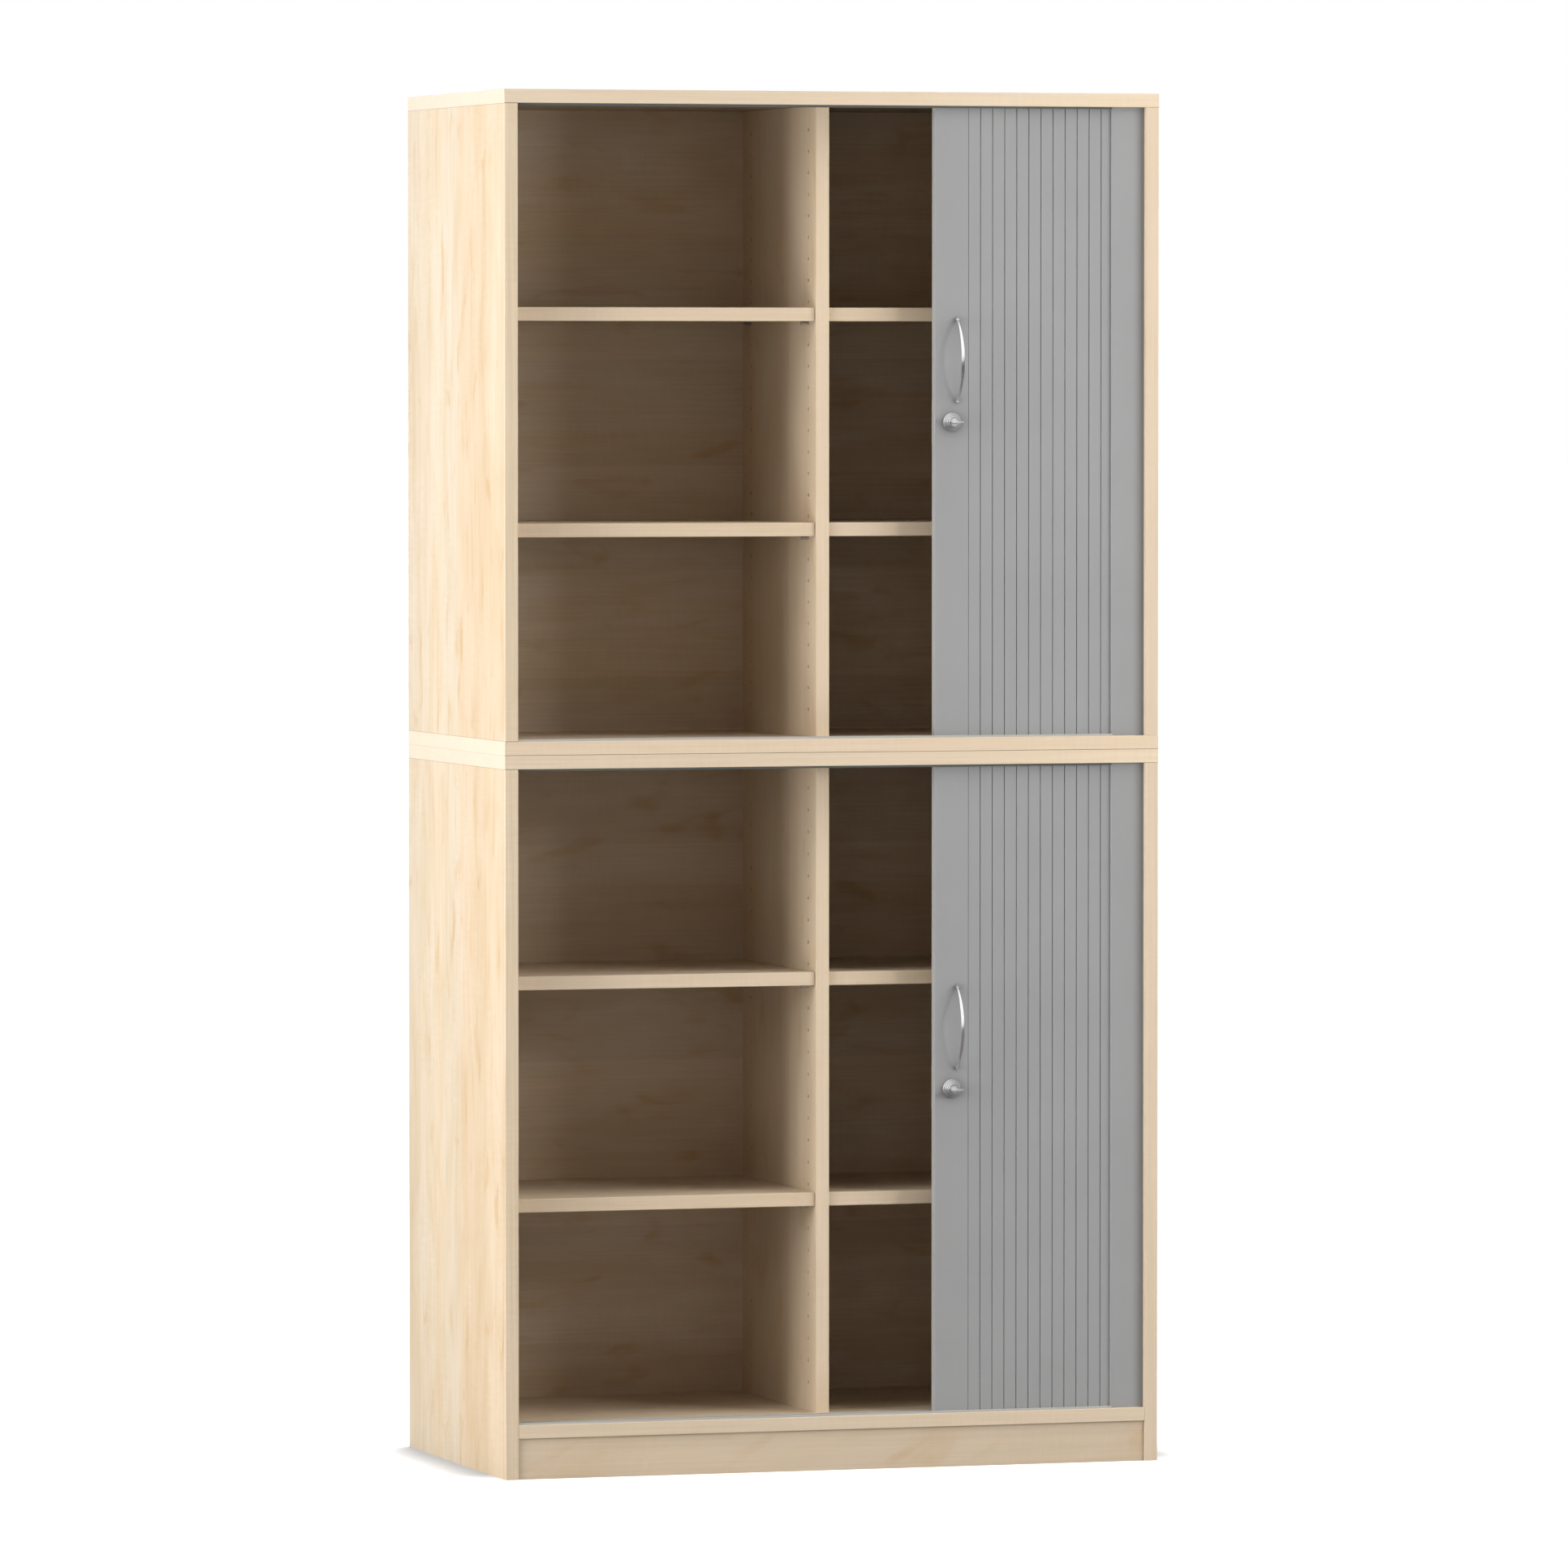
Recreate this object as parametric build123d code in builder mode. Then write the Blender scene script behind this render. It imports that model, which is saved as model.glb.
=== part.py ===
from build123d import *

import os
from collections import namedtuple
from math import asin, cos, degrees, hypot, radians, sin

# Tambour door cabinet: a lower and an upper unit, each with its own sliding curtain door.
# All sizes are in millimetres. X runs to the right, Y to the back, and Z up from the floor.
# The origin is on the floor, under the middle of the overall box.

# Carcass
width = 944.0
depth = 500.0
board = 19.0
plinth_height = 56.0
lower_unit_height = 993.0
upper_unit_height = 910.0
edge_radius = 1.0

# Set-backs, measured back from the carcass front
divider_setback = 55.0
shelf_setback = 59.0
shelf_back_gap = 2.0
inner_side_setback = 62.0
inner_back_setback = 402.0
inner_back_thick = 8.0
back_thick = 8.0
back_rebate = 10.0
plinth_setback = 3.0
rear_plinth_setback = 460.0
cover_setback = 7.0
cover_thick = 2.4
cover_width = 48.0
channel_width = 31.0

# Shelves on pins in rows of holes
shelf_end_gap = 1.0
shelves_per_column = 2
holes_between_shelves = 10
holes_above_top_shelf = 9
holes_below_low_shelf = 8
pin_radius = 2.5
pin_out = 11.0
pin_in = 9.0
hole_radius = 2.55
hole_deep = 10.0
front_hole_setback = 91.0
rear_hole_setback = 361.0

# Guide tracks let into the boards
bottom_track_front = 1.5
top_track_front = 5.0
track_back = 26.0
track_thick = 8.0
track_proud = 2.6
slot_front = 9.6
slot_back = 24.4
slot_deep = 5.0
return_slot_width = 8.0
return_radius = 28.0
return_run_setback = 431.0
return_track_front = 412.0
return_track_back = 450.0
return_track_left = -60.0

# Curtain doors
door_setback = 10.0
door_left_edge = 620.0
door_into_track = 4.0
rail_width = 49.1
rail_body_width = 39.0
rail_thick = 12.0
rail_flange_thick = 3.25
rail_edge_radius = 1.5
slat_pitch = 17.6
slats_per_section = 13
slat_gap = 0.1
slat_thick = 2.8
slat_chamfer_wide = 0.7
slat_chamfer_deep = 1.4
film_thick = 0.4
film_gap = 0.05
section_pitch = 3.6
section_starts = {"front": 669.1, "second": 668.6, "third": 677.0, "fourth": 686.0}

# Bow handle
handle_x = 652.4
handle_above_lock = 85.4
handle_reach = 30.0
handle_foot_spacing = 112.5
handle_foot_radius = 2.3
handle_foot_long = 4.0
bow_end_radius = 1.7
bow_mid_wide = 2.8
bow_mid_thick = 2.3
bow_stations = 9
screw_radius = 1.2
screw_bore_radius = 1.3
screw_into_foot = 3.2
screw_head_radius = 3.0
screw_head_deep = 3.0

# Cylinder lock, its key and its bolt
lock_x = 645.0
rosette_radii = [12.7, 11.0, 9.3, 7.6]
rosette_step = 3.0
rosette_chamfer = 0.6
barrel_radius = 8.95
barrel_hole_radius = 9.0
barrel_long = 14.5
plug_radius = 5.45
plug_bore_radius = 5.5
plug_proud = 0.3
flange_radius = 7.0
flange_thick = 1.5
drive_radius = 5.0
drive_pin_radius = 1.5
drive_pin_long = 2.6
lock_turn_angle = 90.0
keyway_wide = 8.3
keyway_high = 2.3
keyway_deep = 24.8
key_blade_wide = 8.0
key_thick = 2.0
key_blade_long = 24.0
key_neck_wide = 7.0
key_bow_radius = 9.0
key_bow_from_door = 25.0
key_ring_hole_radius = 2.2
key_ring_hole_offset = 4.0
key_notches = 4
key_notch_size = 1.0
bolt_thick = 2.6
bolt_half_high = 8.0
bolt_long = 34.0
bolt_inset = 1.3
bolt_rest_gap = 0.3
bolt_slot_gap = 0.35
lock_case_inset = 3.0
lock_case_deep = 10.0
lock_case_half_high = 30.0
lock_case_wall = 2.0
bolt_channel_half_high = 9.3
strike_wide = 20.0
strike_high = 44.0
strike_thick = 2.0
strike_slot_wide = 7.0
strike_slot_high = 21.0
strike_pocket_deep = 8.0

# Fixings
dowel_radius = 3.98
dowel_hole_radius = 4.0
dowel_long = 30.0
dowel_end_gap = 1.0
dowel_offset = 4.0
level_dowel_height = 5.8
dowel_setbacks = [75.0, 250.0, 425.0]
divider_dowel_setbacks = [120.0, 340.0]
unit_bolt_radius = 4.0
unit_bolt_head_radius = 7.0
unit_bolt_head_high = 3.0
unit_bolt_clearance = 0.05
unit_bolt_x = 380.0
unit_bolt_setbacks = [110.0, 370.0]
back_screw_radius = 1.75
back_screw_head_radius = 3.5
back_screw_head_deep = 2.0
back_screw_long = 25.0
back_screw_clearance = 0.03
back_screw_from_side = 14.0
back_screw_count = 5
back_screw_margin = 70.0

# Places worked out from the sizes above
overhang = max(handle_reach, key_bow_from_door + key_bow_radius) - door_setback
left = -width / 2
front = -(depth - overhang) / 2
back = front + depth
inner_left = left + board
inner_right = -inner_left
divider_left = -board / 2
divider_right = board / 2
cover_left = inner_right - cover_width
inner_side_right = inner_right - channel_width
inner_side_left = inner_side_right - board
inner_back_front = front + inner_back_setback
inner_back_back = inner_back_front + inner_back_thick
back_panel_front = back - back_thick
door_front = front + door_setback
total_height = lower_unit_height + upper_unit_height

Unit = namedtuple("Unit", "name base inner_bottom inner_top top overlaid_bottom")
lower = Unit(
    "lower",
    0.0,
    plinth_height + board,
    lower_unit_height - board,
    lower_unit_height,
    False,
)
upper = Unit(
    "upper",
    lower_unit_height + board,
    lower_unit_height + board,
    total_height - board,
    total_height,
    True,
)
units = [lower, upper]


def save(builder, name):
    """Labels a finished piece and writes its file."""
    builder.part.label = name
    export_step(builder.part, f"parts/{name}.step")


def block(x0, x1, y0, y1, z0, z1, mode=Mode.ADD):
    """Adds or cuts a box between two corners."""
    with Locations(((x0 + x1) / 2, (y0 + y1) / 2, (z0 + z1) / 2)):
        Box(x1 - x0, y1 - y0, z1 - z0, mode=mode)


def rods(places, direction, radius, long, mode=Mode.ADD, align=Align.MIN):
    """Adds or cuts a round rod from each place along one direction."""
    planes = [Plane(origin=place, z_dir=direction) for place in places]
    with Locations(*planes):
        Cylinder(radius, long, align=(Align.CENTER, Align.CENTER, align), mode=mode)


def round_front(builder, radius, axis):
    """Rounds the front edges that run along one axis."""
    edges = builder.edges().filter_by(axis).group_by(Axis.Y)[0]
    fillet(edges, radius=radius)


def middle(unit):
    """Height of the lock: the middle of the unit's opening."""
    return (unit.inner_bottom + unit.inner_top) / 2


def shelf_bottoms(unit):
    """Undersides of the shelves, which share the opening out evenly."""
    clear = unit.inner_top - unit.inner_bottom - shelves_per_column * board
    gap = clear / (shelves_per_column + 1)
    return [unit.inner_bottom + gap + i * (gap + board) for i in range(shelves_per_column)]


def hole_heights(unit):
    """Heights of the shelf-pin holes: a row that passes through both shelves' pins."""
    low, high = shelf_bottoms(unit)
    pitch = (high - low) / holes_between_shelves
    count = holes_below_low_shelf + holes_between_shelves + holes_above_top_shelf + 1
    start = low - pin_radius - holes_below_low_shelf * pitch
    return [start + i * pitch for i in range(count)]


def pin_holes(unit, x, direction):
    """Cuts the two columns of shelf-pin holes into a face at x."""
    setbacks = [front_hole_setback, rear_hole_setback]
    places = [(x, front + s, z) for s in setbacks for z in hole_heights(unit)]
    rods(places, direction, hole_radius, hole_deep, mode=Mode.SUBTRACT)


def upright_dowels(unit):
    """Centres of the dowels that stand in the joints of the sides and the divider."""
    side_x = inner_right + board / 2
    tops = [unit.inner_top - dowel_offset]
    side_levels = tops + ([unit.inner_bottom + dowel_offset] if unit.overlaid_bottom else [])
    places = [
        (x, front + s, z) for x in (-side_x, side_x) for s in dowel_setbacks for z in side_levels
    ]
    divider_levels = tops + [unit.inner_bottom + dowel_offset]
    places += [(0, front + s, z) for s in divider_dowel_setbacks for z in divider_levels]
    return places


def level_dowels(unit):
    """Centres of the dowels between the lower bottom board and the sides it stands between."""
    if unit.overlaid_bottom:
        return []
    x = inner_right - dowel_offset
    z = plinth_height + level_dowel_height
    return [(side * x, front + s, z) for side in (-1, 1) for s in dowel_setbacks]


def dowel_holes(unit):
    """Cuts the dowel holes wherever the current board meets them."""
    long = dowel_long + 2 * dowel_end_gap
    rods(upright_dowels(unit), (0, 0, 1), dowel_hole_radius, long, Mode.SUBTRACT, Align.CENTER)
    if level_dowels(unit):
        rods(level_dowels(unit), (1, 0, 0), dowel_hole_radius, long, Mode.SUBTRACT, Align.CENTER)


def back_screw_heights(unit):
    """Heights of the screws down each side of a back panel."""
    low = max(unit.base, unit.inner_bottom) + back_screw_margin
    high = unit.inner_top - back_screw_margin
    step = (high - low) / (back_screw_count - 1)
    return [low + i * step for i in range(back_screw_count)]


def back_screws(unit, extra, mode=Mode.ADD):
    """Adds or cuts the countersunk screws that hold a back panel."""
    x = width / 2 - back_screw_from_side
    places = [(side * x, back, z) for side in (-1, 1) for z in back_screw_heights(unit)]
    rods(places, (0, -1, 0), back_screw_radius + extra, back_screw_long + extra, mode)
    with Locations(*[Plane(origin=place, z_dir=(0, -1, 0)) for place in places]):
        Cone(
            back_screw_head_radius + extra,
            back_screw_radius + extra,
            back_screw_head_deep + extra,
            align=(Align.CENTER, Align.CENTER, Align.MIN),
            mode=mode,
        )


def unit_bolts(extra, mode=Mode.ADD):
    """Adds or cuts the four connecting bolts that join the two units."""
    low = lower_unit_height - board
    places = [(x, front + s) for x in (-unit_bolt_x, unit_bolt_x) for s in unit_bolt_setbacks]
    ends = (Align.CENTER, Align.CENTER, Align.MIN)
    with Locations(*[(x, y, low) for x, y in places]):
        Cylinder(unit_bolt_radius + extra, 2 * board, align=ends, mode=mode)
    for z, lift in ((low, 1), (low + 2 * board, -1)):
        with Locations(*[Plane(origin=(x, y, z), z_dir=(0, 0, lift)) for x, y in places]):
            Cone(
                unit_bolt_head_radius + extra,
                unit_bolt_radius + extra,
                unit_bolt_head_high + extra,
                align=ends,
                mode=mode,
            )


def track_outline(track_front):
    """Plan of a guide track: the front strip, the side return and the run behind the back."""
    areas = [
        (inner_left, cover_left, track_front, track_back),
        (cover_left, inner_right, slot_front, inner_side_setback),
        (inner_side_right, inner_right, slot_front, return_track_back),
        (return_track_left, inner_right, return_track_front, return_track_back),
    ]
    for x0, x1, near, far in areas:
        with Locations(((x0 + x1) / 2, front + (near + far) / 2)):
            Rectangle(x1 - x0, far - near)


def track_slots():
    """Plan of the slots: one wide straight run in front and the curved return."""
    with Locations(((inner_left + inner_right) / 2, front + (slot_front + slot_back) / 2)):
        Rectangle(inner_right - inner_left, slot_back - slot_front)
    run_y = door_front + slat_thick / 2
    side_x = (inner_side_right + inner_right) / 2
    with BuildLine() as path:
        FilletPolyline(
            (cover_left, run_y),
            (side_x, run_y),
            (side_x, front + return_run_setback),
            (return_track_left, front + return_run_setback),
            radius=return_radius,
        )
    trace(path.edges(), line_width=return_slot_width)


def strike_pocket(unit):
    """Cuts the left side for the strike plate and for the bolt behind it."""
    z = middle(unit)
    y = front + door_setback + barrel_long + (plug_proud + flange_thick + bolt_thick) / 2
    half_wide = strike_wide / 2
    half_high = strike_high / 2
    plate_x = inner_left - strike_thick
    block(
        plate_x, inner_left, y - half_wide, y + half_wide, z - half_high, z + half_high,
        Mode.SUBTRACT,
    )
    half_wide = strike_slot_wide / 2
    half_high = strike_slot_high / 2
    pocket_x = inner_left - strike_pocket_deep
    block(
        pocket_x, inner_left, y - half_wide, y + half_wide, z - half_high, z + half_high,
        Mode.SUBTRACT,
    )


def make_sides(unit):
    """Left and right outer sides."""
    top = unit.inner_top
    with BuildPart() as side_left:
        block(left, inner_left, front, back, unit.base, top)
        round_front(side_left, edge_radius, Axis.Z)
        rebate_bottom = unit.inner_bottom - (0 if unit.overlaid_bottom else board)
        block(
            inner_left - back_rebate, inner_left, back_panel_front, back, rebate_bottom, top,
            Mode.SUBTRACT,
        )
        pin_holes(unit, inner_left, (-1, 0, 0))
        dowel_holes(unit)
        back_screws(unit, back_screw_clearance, Mode.SUBTRACT)
        strike_pocket(unit)
    save(side_left, f"{unit.name}_side_left")

    with BuildPart() as side_right:
        block(inner_right, -left, front, back, unit.base, top)
        round_front(side_right, edge_radius, Axis.Z)
        block(
            inner_right, inner_right + back_rebate, back_panel_front, back, rebate_bottom, top,
            Mode.SUBTRACT,
        )
        dowel_holes(unit)
        back_screws(unit, back_screw_clearance, Mode.SUBTRACT)
    save(side_right, f"{unit.name}_side_right")


def make_boards(unit):
    """Top and bottom boards, with pockets for the guide tracks."""
    with BuildPart() as top_board:
        block(left, -left, front, back, unit.inner_top, unit.top)
        round_front(top_board, edge_radius, Axis.X)
        with BuildSketch(Plane.XY.offset(unit.inner_top)):
            track_outline(top_track_front)
        extrude(amount=track_thick - track_proud, mode=Mode.SUBTRACT)
        dowel_holes(unit)
        if not unit.overlaid_bottom:
            unit_bolts(unit_bolt_clearance, Mode.SUBTRACT)
    save(top_board, f"{unit.name}_top_board")

    with BuildPart() as bottom_board:
        if unit.overlaid_bottom:
            block(left, -left, front, back, lower.top, unit.inner_bottom)
        else:
            block(
                inner_left, inner_right, front, back_panel_front,
                plinth_height, unit.inner_bottom,
            )
        round_front(bottom_board, edge_radius, Axis.X)
        with BuildSketch(Plane.XY.offset(unit.inner_bottom)):
            track_outline(bottom_track_front)
        extrude(amount=-(track_thick - track_proud), mode=Mode.SUBTRACT)
        dowel_holes(unit)
        if unit.overlaid_bottom:
            unit_bolts(unit_bolt_clearance, Mode.SUBTRACT)
    save(bottom_board, f"{unit.name}_bottom_board")


def make_panels(unit):
    """Back panel, inner back, divider, inner side and the cover over the curtain's corner."""
    panel_bottom = unit.inner_bottom - (0 if unit.overlaid_bottom else board)
    edge = inner_right + back_rebate
    with BuildPart() as back_panel:
        block(-edge, edge, back_panel_front, back, panel_bottom, unit.inner_top)
        back_screws(unit, back_screw_clearance, Mode.SUBTRACT)
    save(back_panel, f"{unit.name}_back_panel")

    with BuildPart() as inner_back:
        block(
            inner_left, inner_side_right, inner_back_front, inner_back_back,
            unit.inner_bottom, unit.inner_top,
        )
    save(inner_back, f"{unit.name}_inner_back")

    with BuildPart() as divider:
        block(
            divider_left, divider_right, front + divider_setback, inner_back_front,
            unit.inner_bottom, unit.inner_top,
        )
        round_front(divider, edge_radius, Axis.Z)
        pin_holes(unit, divider_left, (1, 0, 0))
        pin_holes(unit, divider_right, (-1, 0, 0))
        dowel_holes(unit)
    save(divider, f"{unit.name}_divider")

    with BuildPart() as inner_side:
        block(
            inner_side_left, inner_side_right, front + inner_side_setback, inner_back_front,
            unit.inner_bottom, unit.inner_top,
        )
        pin_holes(unit, inner_side_left, (1, 0, 0))
    save(inner_side, f"{unit.name}_inner_side")

    cover_front = front + cover_setback
    with BuildPart() as cover:
        block(
            cover_left, inner_right, cover_front, cover_front + cover_thick,
            unit.inner_bottom, unit.inner_top,
        )
        corner = cover.edges().filter_by(Axis.Z).group_by(Axis.Y)[0].sort_by(Axis.X)[0]
        fillet(corner, radius=edge_radius)
    save(cover, f"{unit.name}_cover_panel")


def make_shelves(unit):
    """Loose shelves in the two columns."""
    columns = {
        "left": (inner_left + shelf_end_gap, divider_left - shelf_end_gap),
        "right": (divider_right + shelf_end_gap, inner_side_left - shelf_end_gap),
    }
    for column, (x0, x1) in columns.items():
        for level, z in zip(("low", "high"), shelf_bottoms(unit)):
            with BuildPart() as shelf:
                block(
                    x0, x1, front + shelf_setback, inner_back_front - shelf_back_gap,
                    z, z + board,
                )
                round_front(shelf, edge_radius, Axis.X)
            save(shelf, f"{unit.name}_shelf_{column}_{level}")


def make_tracks(unit):
    """Guide tracks for the foot and the head of the curtain."""
    foot_top = unit.inner_bottom + track_proud
    with BuildPart() as track_bottom:
        with BuildSketch(Plane.XY.offset(foot_top)):
            track_outline(bottom_track_front)
        extrude(amount=-track_thick)
        with BuildSketch(Plane.XY.offset(foot_top)):
            track_slots()
        extrude(amount=-slot_deep - track_proud, mode=Mode.SUBTRACT)
    save(track_bottom, f"{unit.name}_track_bottom")

    head_bottom = unit.inner_top - track_proud
    with BuildPart() as track_top:
        with BuildSketch(Plane.XY.offset(head_bottom)):
            track_outline(top_track_front)
        extrude(amount=track_thick)
        with BuildSketch(Plane.XY.offset(head_bottom)):
            track_slots()
        extrude(amount=slot_deep + track_proud, mode=Mode.SUBTRACT)
    save(track_top, f"{unit.name}_track_top")


def make_rail(unit):
    """Leading rail of the door with its lock case, which carries the handle and the lock."""
    x0 = left + door_left_edge
    z0 = unit.inner_bottom - door_into_track
    z1 = unit.inner_top + door_into_track
    z = middle(unit)
    rail_back = door_front + rail_thick
    channel_front = door_front + barrel_long + plug_proud
    with BuildPart() as rail:
        block(x0, x0 + rail_body_width, door_front, rail_back, z0, z1)
        block(x0, x0 + rail_width, door_front, door_front + rail_flange_thick, z0, z1)
        block(
            x0 + lock_case_inset, x0 + rail_body_width, rail_back, rail_back + lock_case_deep,
            z - lock_case_half_high, z + lock_case_half_high,
        )
        corner = rail.edges().filter_by(Axis.Z).group_by(Axis.Y)[0].sort_by(Axis.X)[0]
        fillet(corner, radius=rail_edge_radius)
        rods(
            [(left + lock_x, door_front, z)], (0, 1, 0), barrel_hole_radius,
            barrel_long + plug_proud, Mode.SUBTRACT,
        )
        block(
            x0 + lock_case_inset, x0 + rail_body_width - lock_case_wall, channel_front,
            channel_front + flange_thick + bolt_thick + bolt_rest_gap,
            z - bolt_channel_half_high, z + bolt_channel_half_high, Mode.SUBTRACT,
        )
        feet = foot_places(unit)
        rods(feet, (0, 1, 0), screw_bore_radius, rail_thick, Mode.SUBTRACT)
        heads = [(x, rail_back, foot_z) for x, _, foot_z in feet]
        rods(
            heads, (0, -1, 0), screw_head_radius + screw_bore_radius - screw_radius,
            screw_head_deep, Mode.SUBTRACT,
        )
    save(rail, f"{unit.name}_door_rail")


def foot_places(unit):
    """Centres of the handle's two feet on the door face."""
    z = middle(unit) + handle_above_lock
    half = handle_foot_spacing / 2
    return [(left + handle_x, door_front, z - half), (left + handle_x, door_front, z + half)]


def make_handle(unit):
    """Bow handle, thickest in the middle of its arc, with its two screws."""
    x = left + handle_x
    z = middle(unit) + handle_above_lock
    half = handle_foot_spacing / 2
    foot_y = door_front - bow_end_radius
    rise = handle_reach - bow_mid_thick - bow_end_radius
    arc_radius = (half**2 + rise**2) / (2 * rise)
    arc_y = foot_y - rise + arc_radius
    half_angle = degrees(asin(half / arc_radius))
    with BuildPart() as handle:
        for i in range(bow_stations):
            share = i / (bow_stations - 1)
            angle = radians(half_angle * (2 * share - 1))
            swell = cos(radians(90 * (2 * share - 1)))
            wide = bow_end_radius + (bow_mid_wide - bow_end_radius) * swell
            thick = bow_end_radius + (bow_mid_thick - bow_end_radius) * swell
            centre = (x, arc_y - arc_radius * cos(angle), z + arc_radius * sin(angle))
            along = (0, sin(angle), cos(angle))
            with BuildSketch(Plane(origin=centre, x_dir=(1, 0, 0), z_dir=along)):
                Ellipse(wide, thick)
        loft()
        rods(foot_places(unit), (0, -1, 0), handle_foot_radius, handle_foot_long)
        rods(
            foot_places(unit), (0, -1, 0), screw_bore_radius, screw_into_foot,
            Mode.SUBTRACT,
        )
    save(handle, f"{unit.name}_handle")

    rail_back = door_front + rail_thick
    shank = rail_thick + screw_into_foot - screw_bore_radius + screw_radius
    starts = [(px, rail_back, pz) for px, _, pz in foot_places(unit)]
    with BuildPart() as screws:
        rods(starts, (0, -1, 0), screw_radius, shank)
        rods(starts, (0, -1, 0), screw_head_radius, screw_head_deep)
    save(screws, f"{unit.name}_handle_screws")


def make_lock(unit):
    """Lock housing, turning plug, key, sliding bolt."""
    x = left + lock_x
    z = middle(unit)
    face = door_front - rosette_step * len(rosette_radii)
    outline = [(plug_bore_radius, door_front + barrel_long), (barrel_radius, door_front + barrel_long)]
    outline.append((barrel_radius, door_front))
    for i, radius in enumerate(rosette_radii):
        step_back = door_front - i * rosette_step
        step_front = step_back - rosette_step
        outline += [(radius, step_back), (radius, step_front + rosette_chamfer)]
        outline.append((radius - rosette_chamfer, step_front))
    outline.append((plug_bore_radius, face))
    with BuildPart() as housing:
        with BuildSketch(Plane.XY.offset(z)):
            with BuildLine():
                Polyline(*[(x + radius, y) for radius, y in outline], close=True)
            make_face()
        revolve(axis=Axis((x, 0, z), (0, 1, 0)))
    save(housing, f"{unit.name}_lock_housing")

    plug_front = face - plug_proud
    plug_back = door_front + barrel_long + plug_proud
    flange_back = plug_back + flange_thick - plug_proud
    drive = drive_radius * sin(radians(lock_turn_angle / 2))
    with BuildPart() as plug:
        rods([(x, plug_front, z)], (0, 1, 0), plug_radius, plug_back - plug_front)
        rods([(x, plug_back - plug_proud / 2, z)], (0, 1, 0), flange_radius, flange_back - plug_back)
        rods([(x + drive, plug_back, z + drive)], (0, 1, 0), drive_pin_radius, flange_thick + drive_pin_long)
        block(
            x - keyway_wide / 2, x + keyway_wide / 2, plug_front, plug_front + keyway_deep,
            z - keyway_high / 2, z + keyway_high / 2, Mode.SUBTRACT,
        )
    save(plug, f"{unit.name}_lock_plug")

    bow_y = door_front - key_bow_from_door
    with BuildPart() as key:
        with BuildSketch(Plane.XY.offset(z - key_thick / 2)):
            with Locations((x, bow_y)):
                Circle(key_bow_radius)
            with Locations((x, (bow_y + plug_front) / 2)):
                Rectangle(key_neck_wide, plug_front - bow_y)
            with Locations((x, plug_front + key_blade_long / 2)):
                Rectangle(key_blade_wide, key_blade_long)
            with Locations((x, bow_y - key_ring_hole_offset)):
                Circle(key_ring_hole_radius, mode=Mode.SUBTRACT)
            notch_pitch = key_blade_long / (key_notches + 1)
            notches = [
                (x + key_blade_wide / 2, plug_front + (i + 1) * notch_pitch)
                for i in range(key_notches)
            ]
            with Locations(*notches):
                Rectangle(2 * key_notch_size, key_notch_size, rotation=45, mode=Mode.SUBTRACT)
        extrude(amount=key_thick)
    save(key, f"{unit.name}_key")

    bolt_front = flange_back + bolt_rest_gap
    bolt_left = left + door_left_edge + bolt_inset
    slot_half = drive_pin_radius + bolt_slot_gap
    with BuildPart() as bolt:
        block(
            bolt_left, bolt_left + bolt_long, bolt_front, bolt_front + bolt_thick,
            z - bolt_half_high, z + bolt_half_high,
        )
        block(
            x + drive - slot_half, x + drive + slot_half, bolt_front, bolt_front + bolt_thick,
            z + drive - slot_half, z + drive_radius + slot_half, Mode.SUBTRACT,
        )
    save(bolt, f"{unit.name}_lock_bolt")


def make_curtain(unit):
    """Four sections of the slatted curtain, one behind the other."""
    z0 = unit.inner_bottom - door_into_track
    high = unit.inner_top + door_into_track - z0
    half = (slat_pitch - slat_gap) / 2
    for i, (section, start) in enumerate(section_starts.items()):
        y0 = door_front + i * section_pitch
        x0 = left + start
        outline = [
            (-half, slat_thick),
            (-half, slat_chamfer_deep),
            (-half + slat_chamfer_wide, 0),
            (half - slat_chamfer_wide, 0),
            (half, slat_chamfer_deep),
            (half, slat_thick),
        ]
        centres = [(x0 + (n + 0.5) * slat_pitch, y0) for n in range(slats_per_section)]
        film_y = y0 + slat_thick + film_gap
        with BuildPart() as slats:
            with BuildSketch(Plane.XY.offset(z0)):
                with Locations(*centres):
                    Polygon(*outline, align=None)
            extrude(amount=high)
            block(
                x0, x0 + slats_per_section * slat_pitch, film_y, film_y + film_thick,
                z0, z0 + high,
            )
        save(slats, f"{unit.name}_slats_{section}")


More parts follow.
